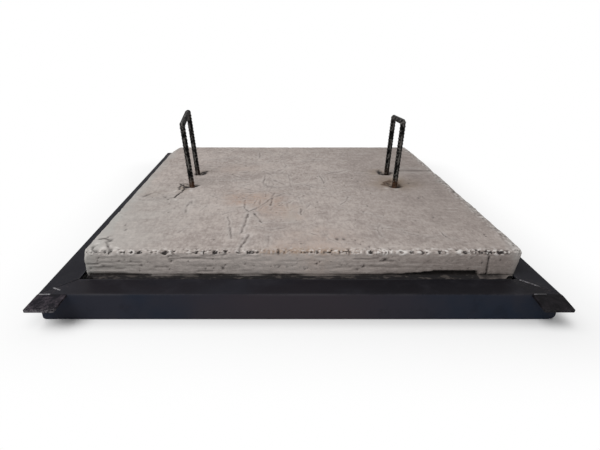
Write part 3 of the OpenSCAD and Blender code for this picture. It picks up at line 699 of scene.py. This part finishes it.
# Dirt, and painted shade in the scratches, cracks, pits, voids, chips and hollows
concrete.coat((dirt_and_shade * speck.ramp(0.25, 0.5, 0.8, 1.0)).ramp(0.0, 1.15), paint(38, 34, 33))
patches = concrete.noise(7, (0.5, 1, 1), 4.0).ramp(0.50, 0.62)
# Painted shade: near black below the flange's level, broken by lighter patches
concrete.coat(shade_below, paint(26, 24, 25))
concrete.coat(shade_below * patches * concrete.axis("X").ramp(0.06, 0.26, 0.45, 0.6), paint(94, 87, 83))
concrete.set(Base_Color=concrete.colour, Roughness=speck.ramp(0.2, 0.8, 0.86, 0.96),
             Specular_IOR_Level=0.25)
concrete.bump(speck * 0.6 + sand * 0.3 + float_marks * 0.8 + mottle * 0.9 - pores * 0.6, 0.9, 0.6)
slab.data.materials.append(concrete.material)
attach(slab, "root")
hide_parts("concrete_slab")

# Two lifting loops stand in the slab: 3/8 inch ribbed reinforcing bar, cold-bent into a
# square hoop whose feet turn outward deep in the concrete. Mill-black, rusty at the surface.
bar_radius, bend_radius, rib_height, rib_pitch = 4.75, 7.0, 0.5, 6.4
foot_level, foot_end, leg_apart, loop_middle = 30.05 - slab_top, 102.0, 42.0, 19.0
loops = {  # x of the middle, lean outward, turn seen from above, heights of the two legs
    "lifting_loop_left": (-194.857, -4.5, 2.0, 118.0, 129.5),
    "lifting_loop_right": (200.143, 1.5, -2.5, 123.5, 117.5)}


def rounded(corners, radii, pieces=8):
    """A broken line with an arc at each inner corner: the arc starts radius x tan(half the
    turn) before the corner, and its points swing about a centre on the inner side."""
    corners = np.asarray(corners, dtype=float)
    line = [corners[:1]]
    for before, at, after, radius in zip(corners, corners[1:], corners[2:], radii):
        u, v = at - before, after - at
        u, v = u / np.hypot(*u), v / np.hypot(*v)
        turn = np.arctan2(u[0] * v[1] - u[1] * v[0], u @ v)
        inward = np.sign(turn) * np.array([-u[1], u[0]])
        centre = at - u * radius * np.tan(abs(turn) / 2) + inward * radius
        swing = np.linspace(0, turn, pieces + 1)[:, None]
        line.append(centre + radius * (-inward * np.cos(swing) + u * np.sin(abs(swing))))
    return np.concatenate(line + [corners[-1:]])


def resampled(line, step=1.0, count=None):
    """Points at equal steps along a broken line, and their distances from its start. Where a
    count of points is given, it takes the place of the step."""
    run = np.concatenate([[0], np.cumsum(np.hypot(*np.diff(line, axis=0).T))])
    at = np.linspace(0, run[-1], count or int(round(run[-1] / step)) + 1)
    return np.column_stack([np.interp(at, run, line[:, k]) for k in range(line.shape[1])]), at


def tube(skin, centres):
    """A closed tube from its rings of points: each ring is joined to the next, and the first
    and the last middle point are its poles."""
    count, sides = skin.shape[:2]
    points = np.concatenate([skin.reshape(-1, 3), centres[:1], centres[-1:]])
    rings = np.arange(count * sides).reshape(count, sides)
    faces = sleeve(rings[:-1], rings[1:])
    for ring, pole, step in ((rings[0], count * sides, -1), (rings[-1], count * sides + 1, 1)):
        faces += np.stack([ring, np.roll(ring, -step), np.full(sides, pole)], axis=1).tolist()
    return points, faces


def loop_shape(x, lean, turn, front_height, back_height):
    """A ribbed bar along foot, leg, top, leg and foot: middle line + radius x (cos a x normal +
    sin a x binormal). The radius grows by crescent ribs that run round each half of the bar,
    slanting opposite ways, by two low seams between them, and at the outside of the two top
    bends, where the bar was squared over the former."""
    deep = foot_level / np.cos(np.radians(lean))
    path = [(-foot_end, deep), (-leg_apart, deep), (-leg_apart, front_height),
            (leg_apart, back_height), (leg_apart, deep), (foot_end, deep)]
    line, run = resampled(rounded(path, [bend_radius] * 4), 0.8)
    ahead = np.gradient(line, axis=0)
    ahead /= np.hypot(*ahead.T)[:, None]
    a = np.linspace(0, 2 * np.pi, 28, endpoint=False)
    half = np.where(a < np.pi, 0.0, 0.5)
    phase = run[:, None] / rib_pitch + 0.22 * np.cos(a) * np.where(a < np.pi, 1, -1) + half
    crest = np.clip(np.cos(2 * np.pi * phase), 0, 1) ** 1.5 * np.abs(np.sin(a)) ** 0.5
    seam = hump(np.sin(a) / 0.28)
    radius = bar_radius - 0.1 + (rib_height + 0.25) * np.maximum(crest, 0.6 * seam)
    radius += 0.06 * grain(run[:, None] / 3, a[None, :] * 2, 41)
    for corner in path[2:4]:
        full = 2.0 * (1 - ease(np.hypot(*(line - corner).T), 2.9, 5.5))
        radius += full[:, None] * np.clip(np.cos(a), 0, 1) ** 2
    # Crests and seams, which the finish paints lighter for worn scale and a highlight
    worn_and_highlit_crests = np.append(np.maximum(crest, 0.8 * seam), [0.0, 0.0])
    radius[[0, -1]] *= 0.85

    def stand(across, up, side=0.0):
        """Stands a point of the hoop's plane on the slab: turned about Z, then leaned about Y."""
        c, s = np.cos(np.radians(turn)), np.sin(np.radians(turn))
        px, py = c * side - s * across, s * side + c * across
        c, s = np.cos(np.radians(lean)), np.sin(np.radians(lean))
        return np.stack([c * px + s * up, py + 0 * up, -s * px + c * up], axis=-1)

    centres, normals = stand(*line.T), stand(-ahead[:, 1], ahead[:, 0])
    around = np.cos(a)[:, None] * normals[:, None] + np.sin(a)[:, None] * stand(0.0, 0.0, 1.0)
    points, faces = tube(centres[:, None] + radius[:, :, None] * around, centres)
    ribs = {"ribs": np.repeat(worn_and_highlit_crests[:, None], 4, axis=1)}
    return points + [x, loop_middle, slab_top], faces, ribs


bar = Finish("ribbed_bar")
ribs = bar.channels("ribs")[0]
scale_noise = bar.noise(5, (1, 1, 0.6), 4.0, 0.65)
fine = bar.noise(1.6, rough=0.6)
near = bar.axis("Y").ramp(0.03, 0.0, 0.25, 1.0)
low_rust = (bar.axis("Z") + scale_noise * 0.02).ramp(0.106, 0.088) * near
bar.colour = bar.mix(scale_noise.ramp(0.4, 0.7), paint(3, 3, 3), paint(13, 13, 13))
# Rib crests lighter: worn scale and a painted highlight
bar.coat(ribs * (scale_noise + fine * 0.5).ramp(0.68, 0.86) * 0.9, paint(126, 123, 119))
bar.coat(scale_noise.ramp(0.58, 0.72) * 0.3, paint(66, 46, 38))
bar.coat(low_rust * fine.ramp(0.35, 0.6, 0.15, 0.95), paint(84, 60, 45))
bar.set(Base_Color=bar.colour, Roughness=scale_noise.ramp(0.3, 0.7, 0.5, 0.7), Metallic=0.0,
        Specular_IOR_Level=0.05)
bar.bump(fine * 0.5 + scale_noise * 0.5, 0.25, 0.6)

for name, sizes in loops.items():
    piece = build(name.replace("lifting_", ""), *loop_shape(*sizes))
    piece.data.materials.append(bar.material)
    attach(piece, "root")
    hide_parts(name)

# The frame is four lengths of hot-rolled steel angle with the flange on top, pointing in.
# Each is cut to 45 degrees at both ends and welded at the corners; the mill scale is still on.
frame_low, frame_high = (np.array(corner) * 1000 for corner in (
    (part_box("frame_left")[0][0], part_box("frame_front")[0][1], 0.0),
    (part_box("frame_right")[1][0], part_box("frame_back")[1][1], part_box("frame_front")[1][2])))
frame_width, frame_length = frame_high[:2] - frame_low[:2]
leg, wall, heel, fillet, toe, relief = 38.1, 3.2, 0.7, 4.7, 1.6, 0.3
members = {  # quarter turns, length, rounding of the bottom corner at the start and the end
    "frame_front": (0, frame_width, 3.0, 7.0), "frame_right": (1, frame_length, 7.0, 3.0),
    "frame_back": (2, frame_width, 3.0, 3.0), "frame_left": (3, frame_length, 3.0, 3.0)}


def member_shape(quarters, length, round_start, round_end):
    """An angle swept along X: the section's outer and inner outlines face each other point by
    point, and at its mitred ends x follows the distance from the outer face. Near the bottom
    the ends stand back by r - sqrt(r^2 - (r - z)^2)."""
    outer = resampled(rounded([(0, 0), (0, leg), (leg, leg)], [heel], 6), 1.6)[0]
    inner = [(toe, 0), (wall, 0), (wall, leg - wall), (leg, leg - wall), (leg, leg - toe)]
    inner = resampled(rounded(inner, [toe - 0.01, fillet, toe - 0.01]), count=len(outer))[0]
    section = np.concatenate([outer, inner[::-1]])
    y, z = section.T

    def stand_back(r):
        """How far a rounding of that radius sets an end back at each height of the section."""
        low = np.clip(r - z, 0, r)
        return r - np.sqrt(r * r - low * low)

    t = spaced(0, 1, lambda s: 0.002 + 0.005 * ease(np.minimum(s, 1 - s), 0.0, 0.04))
    back = y + relief + 0.7 * (y / leg) ** 2
    start, end = back + stand_back(round_start), length - back - stand_back(round_end)
    x = start + t[:, None] * (end - start)
    y, z, _ = np.broadcast_arrays(y, z, x)
    n = len(outer)
    outward = np.zeros(len(section))
    outward[:n] = 1.0
    sway = 0.10 * grain(x / 90, z / 30 + y / 40, 50 + quarters)
    y = y + np.clip(sway, 0, 1) * (z < leg - 4) * outward
    z = z - np.clip(sway + 0.05, 0, 1) * (y > 4) * outward
    rings = np.arange(x.size).reshape(x.shape)
    faces = sleeve(rings[1:], rings[:-1])
    for ring, way in ((rings[0], 1), (rings[-1], -1)):
        a, b = ring[:n], ring[:n - 1:-1]
        faces += [quad[::way] for quad in np.stack([a[:-1], a[1:], b[1:], b[:-1]], axis=1).tolist()]
    # Lighter edges: the heel and the flange's toe, where the scale has rubbed off and a highlight
    # is painted along them
    rubbed_and_highlight = np.exp(-np.hypot(section[:, 0], section[:, 1] - leg) / 0.9)
    rubbed_and_highlight += 0.7 * np.exp(-np.hypot(section[:, 0] - leg, section[:, 1] - leg) / 0.9)
    ends = np.exp(-np.minimum(x - x.min(axis=0), x.max(axis=0) - x) / 14)
    # The flange's upper face, which the finish paints darker as shade
    upper = ease(section[:, 1], leg - 1.2, leg - 0.2)
    wear = np.stack(np.broadcast_arrays(rubbed_and_highlight, ends, upper, quarters % 2), axis=-1)
    points = np.stack([x, y, z], axis=-1).reshape(-1, 3)
    turn = np.radians(90 * quarters)
    c, s = np.cos(turn), np.sin(turn)
    points = points @ np.array([[c, s, 0], [-s, c, 0], [0, 0, 1]])
    corner = np.where([quarters in (1, 2), quarters in (2, 3), False], frame_high, frame_low)
    return points + corner, faces, wear.reshape(-1, 4)


steel = Finish("mill_scale_steel")
rubbed_and_highlight, ends, level, on_side = steel.channels("wear")
middle = abs(steel.axis("X")).ramp(0.22, 0.05)
to_right = steel.axis("X").ramp(-0.02, 0.16)
wide = steel.noise(110, (1, 1, 1), 3.0, 0.5)
cloud = steel.noise(22, (0.6, 0.6, 0.6), 4.0, 0.6)
fine = steel.noise(3.0, rough=0.6)
speck = steel.noise(2.2, (1, 1, 1), 2.0).ramp(0.70, 0.78)
blue = steel.mix(wide.ramp(0.38, 0.62), paint(32, 39, 51), paint(42, 43, 51))
steel.colour = steel.mix(middle, blue, paint(51, 47, 52))
# Painted shade: the flange's upper face is coloured darker than the front face, more on the side
# members, and on the others more towards the right
steel.coat(level, steel.mix(wide.ramp(0.38, 0.62), paint(36, 36, 41), paint(30, 28, 32)))
steel.coat(level * on_side * 0.8, paint(28, 28, 33))
steel.coat(level * (1.0 - on_side) * to_right * 0.75, paint(21, 20, 23))
steel.coat(cloud.ramp(0.48, 0.75) * 0.4, paint(48, 47, 52))
steel.coat(cloud.ramp(0.42, 0.3) * 0.2, paint(18, 19, 25))
steel.coat(speck * 0.35, paint(70, 56, 50))
steel.coat(ends * fine.ramp(0.52, 0.66) * 0.5, paint(72, 66, 66))
# Lighter heel and toe: rubbed scale and a painted highlight
steel.coat(rubbed_and_highlight * (wide + fine * 0.3).ramp(0.56, 0.8) * 0.4, paint(96, 97, 100))
steel.set(Base_Color=steel.colour, Metallic=0.0, Specular_IOR_Level=0.035,
          Roughness=(cloud + fine * 0.3).ramp(0.4, 0.8, 0.42, 0.6))
steel.bump(cloud * 0.7 + fine * 0.3, 0.25, 0.4)

for name, sizes in members.items():
    points, faces, wear = member_shape(*sizes)
    piece = build(name.replace("frame_", "angle_"), points, faces, {"wear": wear}, sharp=40)
    piece.data.materials.append(steel.material)
    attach(piece, "root")
    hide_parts(name)

# Four tabs carry on the lines of the side members. They are sheared from flat bar, and grout
# round the frame would hold them; the front right one has been bent down beyond its root.
tab_width, tab_thick, tab_root, tab_corner = 38.0, 3.2, 3.0, 2.0
tabs = {  # right side, back side, length, bend in degrees, rust
    "anchor_tab_front_left": (False, False, 36.0, 0.0, 1.0),
    "anchor_tab_front_right": (True, False, 31.0, 7.0, 0.12),
    "anchor_tab_back_left": (False, True, 36.0, 0.0, 0.7),
    "anchor_tab_back_right": (True, True, 36.0, 0.0, 0.7)}


def at_corner(points, faces, right, back):
    """Moves what was made at the front left corner to one of the four, mirroring it. Where
    that turns the faces inside out, their corners are taken the other way round."""
    flip = np.array([-1.0 if right else 1.0, -1.0 if back else 1.0, 1.0])
    faces = [face[::-1] for face in faces] if right != back else faces
    return (points + frame_low) * flip, faces


def tab_shape(tab_length, bend, rust, seed):
    """A plate: a rounded rectangle of a section, run out from the frame along the tab's line.
    Its width falls at the free end by c - sqrt(c^2 - (c - d)^2), d being the distance left."""
    soft = 0.35
    a = np.radians([15, 45, 75])
    half_width, half_thick = tab_width / 2, tab_thick / 2
    top = np.linspace([soft - half_width, half_thick], [half_width - soft, half_thick], 15)
    arris = soft * np.column_stack([np.sin(a), np.cos(a)]) + [half_width - soft, half_thick - soft]
    section = np.concatenate([top, arris, arris[::-1] * [1, -1], top[::-1] * [1, -1],
                              arris * [-1, -1], arris[::-1] * [-1, 1]])
    rounding = tab_corner * (1 - np.sin(np.radians(np.linspace(0, 90, 7))))
    run = np.concatenate([[0, 0.4], np.arange(2, tab_length - 2, 2), tab_length - rounding])
    left = np.clip(tab_corner - (tab_length - run), 0, tab_corner)
    narrow = tab_corner - np.sqrt(np.maximum(tab_corner**2 - left**2, 0))
    nick = 0.12 * grain(run / 3, run * 0, seed)
    x = half_width + section[:, 0] * (1 - (narrow + 0.12 + nick)[:, None] / half_width)
    z = section[:, 1]
    slope = np.radians(bend)
    bent = np.maximum(run - tab_root, 0)
    tilt = slope * (bent > 0)[:, None]
    y = -(np.minimum(run, tab_root) + bent * np.cos(slope))[:, None] - z * np.sin(tilt)
    z = leg - half_thick - (bent * np.sin(slope))[:, None] + z * np.cos(tilt)
    points = np.stack([x, y, z], axis=-1)
    rings = np.arange(x.size).reshape(x.shape)
    faces = sleeve(rings[:-1], rings[1:]) + [rings[0][::-1].tolist(), rings[-1].tolist()]
    edge = np.minimum(half_width - np.abs(x - half_width), (tab_length - run)[:, None])
    rubbed_and_highlight = np.exp(-np.maximum(edge, 0) / 0.8)
    run = run[:, None]
    dark = np.maximum(hump((x - 23.4) / 2.2, (run - 2.2) / 1.6), 0.8 * hump(run / 1.3))
    tip = ease(run, tab_length - 14, tab_length - 2)
    wear = np.stack(np.broadcast_arrays(rubbed_and_highlight, dark, rust, tip), axis=-1)
    return points.reshape(-1, 3), faces, wear.reshape(-1, 4)


flat_bar = Finish("flat_bar_steel")
rubbed_and_highlight, dark, rusted, tip = flat_bar.channels("wear")
cloud = flat_bar.noise(12, (1, 1, 1), 4.0, 0.6)
fine = flat_bar.noise(2.4, rough=0.6)
bloom = (cloud * 0.7 + fine * 0.3).ramp(0.42, 0.66)
flat_bar.colour = flat_bar.mix(cloud.ramp(0.35, 0.65), paint(14, 13, 15), paint(24, 23, 25))
flat_bar.coat(rusted * 0.85, flat_bar.mix(bloom, paint(19, 18, 24), paint(76, 69, 75)))
flat_bar.coat(tip * rusted * fine.ramp(0.45, 0.65) * 0.35, paint(96, 92, 94))
# Lighter edges near the tip: rubbed scale and a painted highlight
flat_bar.coat(rubbed_and_highlight * tip * rusted.ramp(0.2, 0.9, 0.2, 1.0) * fine.ramp(0.35, 0.6) * 0.6,
              paint(104, 101, 104))
flat_bar.coat(dark, paint(14, 13, 15))
flat_bar.set(Base_Color=flat_bar.colour, Metallic=0.0, Specular_IOR_Level=0.03,
             Roughness=cloud.ramp(0.3, 0.7, 0.5, 0.65))
flat_bar.bump(cloud * 0.5 + fine * 0.5, 0.25, 0.5)

for seed, (name, (right, back, length, bend, rust)) in enumerate(tabs.items()):
    points, faces, wear = tab_shape(length, bend, rust, 60 + seed)
    piece = build(name.replace("anchor_", ""), *at_corner(points, faces, right, back),
                  {"wear": wear}, sharp=40)
    piece.data.materials.append(flat_bar.material)
    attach(piece, "root")
    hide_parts(name)

# Arc welds hold the mitres and the tabs' roots: hand-laid beads with the ripples of a stick
# electrode. Each corner has an upright bead inside and a low one on its mitre.
welds = {  # right side, back side, start in X and Y, slant and length of the bead on the mitre
    "corner_weld_front_left": (False, False, 13.28, 16.24, -27.0, 14.0),
    "corner_weld_front_right": (True, False, 18.12, 18.12, 45.0, 26.0),
    "corner_weld_back_left": (False, True, 13.28, 16.24, -27.0, 14.0),
    "corner_weld_back_right": (True, True, 13.28, 16.24, -27.0, 14.0)}
root_welds = {  # right side, back side, start along the tab's root
    "tab_weld_front_left": (False, False, 2.0), "tab_weld_front_right": (True, False, 20.0),
    "tab_weld_back_left": (False, True, 2.0), "tab_weld_back_right": (True, True, 2.0)}


def bead(start, end, up, half_width, height, seed):
    """A bead from start to end: half an ellipse over a flat back, swelling and shrinking with
    each ripple, and rounded off at both ends."""
    start, end, up = (np.array(v, dtype=float) for v in (start, end, up))
    length = np.linalg.norm(end - start)
    t = np.linspace(0, 1, int(length / 0.35) + 2)
    ahead = (end - start) / length
    side = np.cross(up, ahead)
    close = np.minimum(t, 1 - t) * length
    swell = np.sqrt(np.clip(1 - (1 - np.clip(close / half_width, 0, 1)) ** 2, 0.02, 1))
    run = t * length
    ripple = 1 + 0.10 * np.cos(2 * np.pi * run / 1.5) + 0.12 * grain(run / 4, run * 0, seed)
    size = np.minimum(swell * ripple * 0.92, 1.0)
    a = np.linspace(0, 2 * np.pi, 20, endpoint=False)
    across, rise = half_width * np.cos(a), np.where(np.sin(a) > 0, height, 0.12) * np.sin(a)
    centres = start + t[:, None] * (end - start)
    skin = centres[:, None] + size[:, None, None] * (across[:, None] * side + rise[:, None] * up)
    return tube(skin, centres)


weld_metal = Finish("weld_metal")
fine = weld_metal.noise(1.6, rough=0.6)
weld_metal.colour = weld_metal.mix(fine.ramp(0.35, 0.65), paint(66, 65, 70), paint(134, 131, 134))
weld_metal.coat(weld_metal.noise(6.0).ramp(0.46, 0.56) * 0.85, paint(30, 28, 31))
weld_metal.coat(1.0 - weld_metal.channels("shine")[0], paint(34, 32, 35))
weld_metal.set(Base_Color=weld_metal.colour, Metallic=0.0, Specular_IOR_Level=0.3,
               Roughness=fine.ramp(0.3, 0.7, 0.3, 0.5))
weld_metal.bump(fine, 0.2, 0.5)


def weld_piece(name, shells, right, back, dull=(-2, -1)):
    """One object from several beads at a corner. Its attribute "shine" is 0 up to the first
    distance from the frame's side that dull gives, and 1 from the second one on."""
    points, faces = [], []
    for shell_points, shell_faces in shells:
        base = sum(len(p) for p in points)
        points.append(shell_points)
        faces += [[base + corner for corner in face] for face in shell_faces]
    points = np.concatenate(points)
    shine = ease(points[:, 0], *dull)
    piece = build(name.replace("weld", "bead"), *at_corner(points, faces, right, back),
                  {"shine": np.repeat(shine[:, None], 4, axis=1)})
    piece.data.materials.append(weld_metal.material)
    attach(piece, "root")
    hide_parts(name)


for seed, (name, (right, back, at_x, at_y, slant, long)) in enumerate(welds.items()):
    dx, dy = long * np.cos(np.radians(slant)), long * np.sin(np.radians(slant))
    seat = wall + 0.9
    front_right = right and not back
    upright = bead((seat, seat, 8.0 if front_right else 4.0), (seat, seat, 28.0),
                   (0.7071, 0.7071, 0.0), 1.9, 1.6, 70 + seed)
    flat = bead((at_x, at_y, leg), (at_x + dx, at_y + dy, leg), (0, 0, 1), 1.4, 0.75, 80 + seed)
    weld_piece(name, [upright, flat], right, back, (21, 23) if front_right else (-2, -1))
for seed, (name, (right, back, begin)) in enumerate(root_welds.items()):
    flat = bead((begin, 0, leg), (begin + 16.0, 0, leg), (0, 0, 1), 1.4, 0.75, 90 + seed)
    weld_piece(name, [flat], right, back, (31, 35) if begin > 2 else (-2, -1))

# A mat of reinforcing bar lies in the slab, out of sight: five bars each way, kept as the
# frame brings them and given the brown skin of bar that was cast in.
buried = Finish("buried_bar")
cloud = buried.noise(6.0, (1, 1, 1), 4.0, 0.6)
buried.set(Base_Color=buried.mix(cloud.ramp(0.35, 0.65), paint(58, 48, 42), paint(98, 70, 52)),
           Roughness=cloud.ramp(0.3, 0.7, 0.6, 0.85))
buried.bump(cloud, 0.2, 0.5)
for name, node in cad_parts.items():
    if name.startswith("reinforcing_bar"):
        node.data.materials.clear()
        node.data.materials.append(buried.material)

# Pale floor that whitens away from the frame, a wide soft lamp above the left front, an even
# pale surround, and the camera at the photograph's place and angle.
floor_level, floor_corners = -0.6, ((-9000, -9000), (9000, -9000), (9000, 9000), (-9000, 9000))
floor = build("floor", [(x, y, floor_level) for x, y in floor_corners], [[0, 1, 2, 3]])
pale = Finish("pale_floor")
pale.set(Base_Color=paint(236, 236, 236), Roughness=0.9, Specular_IOR_Level=0.0)
glow = pale.node("ShaderNodeEmission", {}, {"Color": (1, 1, 1, 1), "Strength": 1.0})
side = (abs(pale.axis("X")) - frame_width / 2000) | 0.0
end = (abs(pale.axis("Y")) - frame_length / 2000) | 0.0
away = pale.math("SQRT", side * side + end * end)
share = away.ramp(0.0, 0.03, 0.0, 0.6) + away.ramp(0.0, 0.16, 0.0, 0.4)
blend = pale.node("ShaderNodeMixShader", {}, {
    0: pale.seen() * share, 1: Value(pale, pale.shader.outputs[0]), 2: glow})
pale.feed(pale.tree.nodes["Material Output"].inputs["Surface"], blend)
floor.data.materials.append(pale.material)

surround = Finish("pale_surround", bpy.data.worlds, "Background")
surround.set(Color=(1, 1, 1, 1), Strength=surround.seen() * 0.5 + 0.5)
bpy.context.scene.world = surround.material

lamp = bpy.data.objects.new("soft_lamp", bpy.data.lights.new("soft_lamp", "AREA"))
lamp.data.shape, lamp.data.size, lamp.data.energy = "DISK", 1.6, 35.0
lamp.location = (-1.1, -0.9, 1.9)
lamp.rotation_euler = (np.radians(28), np.radians(-28), 0.0)
bpy.context.scene.collection.objects.link(lamp)

camera = bpy.data.objects.new("camera", bpy.data.cameras.new("camera"))
camera.location = (-0.0286, -0.8291, 0.3452)
camera.rotation_euler = (np.radians(90 - 23.6566), 0.0, 0.0)
camera.data.sensor_width, camera.data.lens = 36.0, 26.207
camera.data.shift_x, camera.data.shift_y = 0.0379, 0.001
bpy.context.scene.collection.objects.link(camera)
bpy.context.scene.camera = camera
bpy.context.scene.view_settings.view_transform = "Standard"
